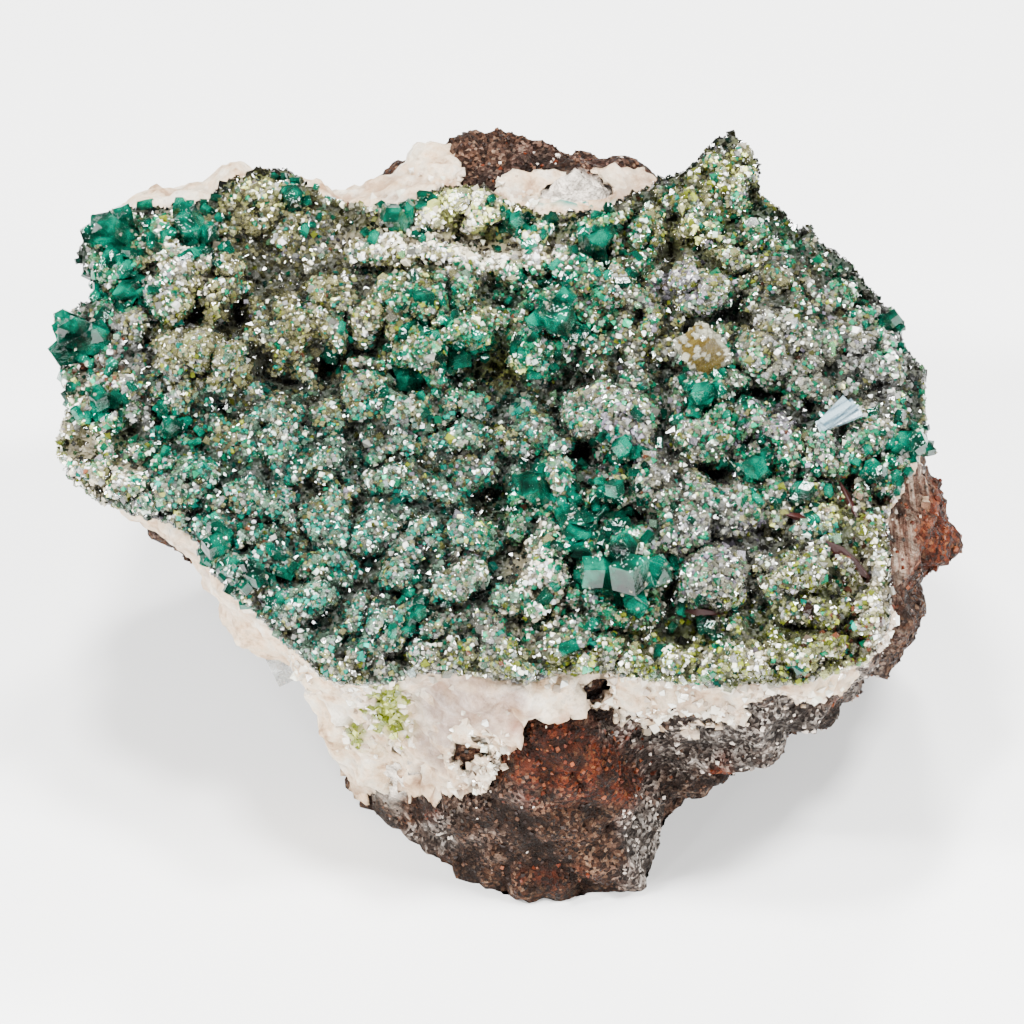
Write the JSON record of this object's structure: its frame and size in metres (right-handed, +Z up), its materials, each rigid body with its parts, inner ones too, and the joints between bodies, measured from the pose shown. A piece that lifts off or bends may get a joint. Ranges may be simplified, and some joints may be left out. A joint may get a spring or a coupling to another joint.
{
  "type": "calcite specimen with dioptase",
  "caption": "Loose mineral specimen: brown host rock with a white calcite vein, coated with a glassy druse and emerald green dioptase crystals.",
  "frame": {"origin": "the middle of the flat base that the specimen rests on", "axes": "+Z up; the crystal face looks up and towards -Y, and +X runs along the specimen's width"},
  "size_m": [0.0911, 0.0751, 0.0523],
  "materials": {
    "host_rock": "rough broken brown and grey rock, with rusty red patches",
    "white_calcite": "matte white to pinkish massive calcite with a fine grain",
    "crystal_crust": "sparkling druse of small glassy grey, clear, green and yellow-green crystals",
    "dioptase": "glassy translucent emerald to bluish green crystal faces",
    "pale_calcite": "pearly pale blue laths",
    "ochre_calcite": "translucent honey-coloured cleavage block",
    "clear_calcite": "clear colourless cleavage block"
  },
  "bodies": {
    "root": {"calcite_blade": "pale_calcite", "calcite_vein": "white_calcite", "clear_chip": "clear_calcite", "crystal_crust": "crystal_crust", "dioptase_centre_great": "dioptase", "dioptase_centre_hollow": "dioptase", "dioptase_centre_long": "dioptase", "dioptase_centre_upper": "dioptase", "dioptase_crown": "dioptase", "dioptase_far_right": "dioptase", "dioptase_knob_lower": "dioptase", "dioptase_knob_upper": "dioptase", "dioptase_ledge_left": "dioptase", "dioptase_ledge_right": "dioptase", "dioptase_left_edge": "dioptase", "dioptase_left_hollow": "dioptase", "dioptase_left_low": "dioptase", "dioptase_low_middle": "dioptase", "dioptase_low_right": "dioptase", "dioptase_lower_left": "dioptase", "dioptase_lower_left_row": "dioptase", "dioptase_middle_dark": "dioptase", "dioptase_notch": "dioptase", "dioptase_right_clump": "dioptase", "dioptase_right_edge": "dioptase", "dioptase_right_low": "dioptase", "dioptase_right_middle": "dioptase", "dioptase_right_rim": "dioptase", "dioptase_slot": "dioptase", "dioptase_top_dark": "dioptase", "dioptase_top_left": "dioptase", "dioptase_under_knob": "dioptase", "dioptase_upper_left": "dioptase", "dioptase_upper_middle": "dioptase", "host_rock": "host_rock", "ochre_calcite": "ochre_calcite"}
  },
  "joints": []
}
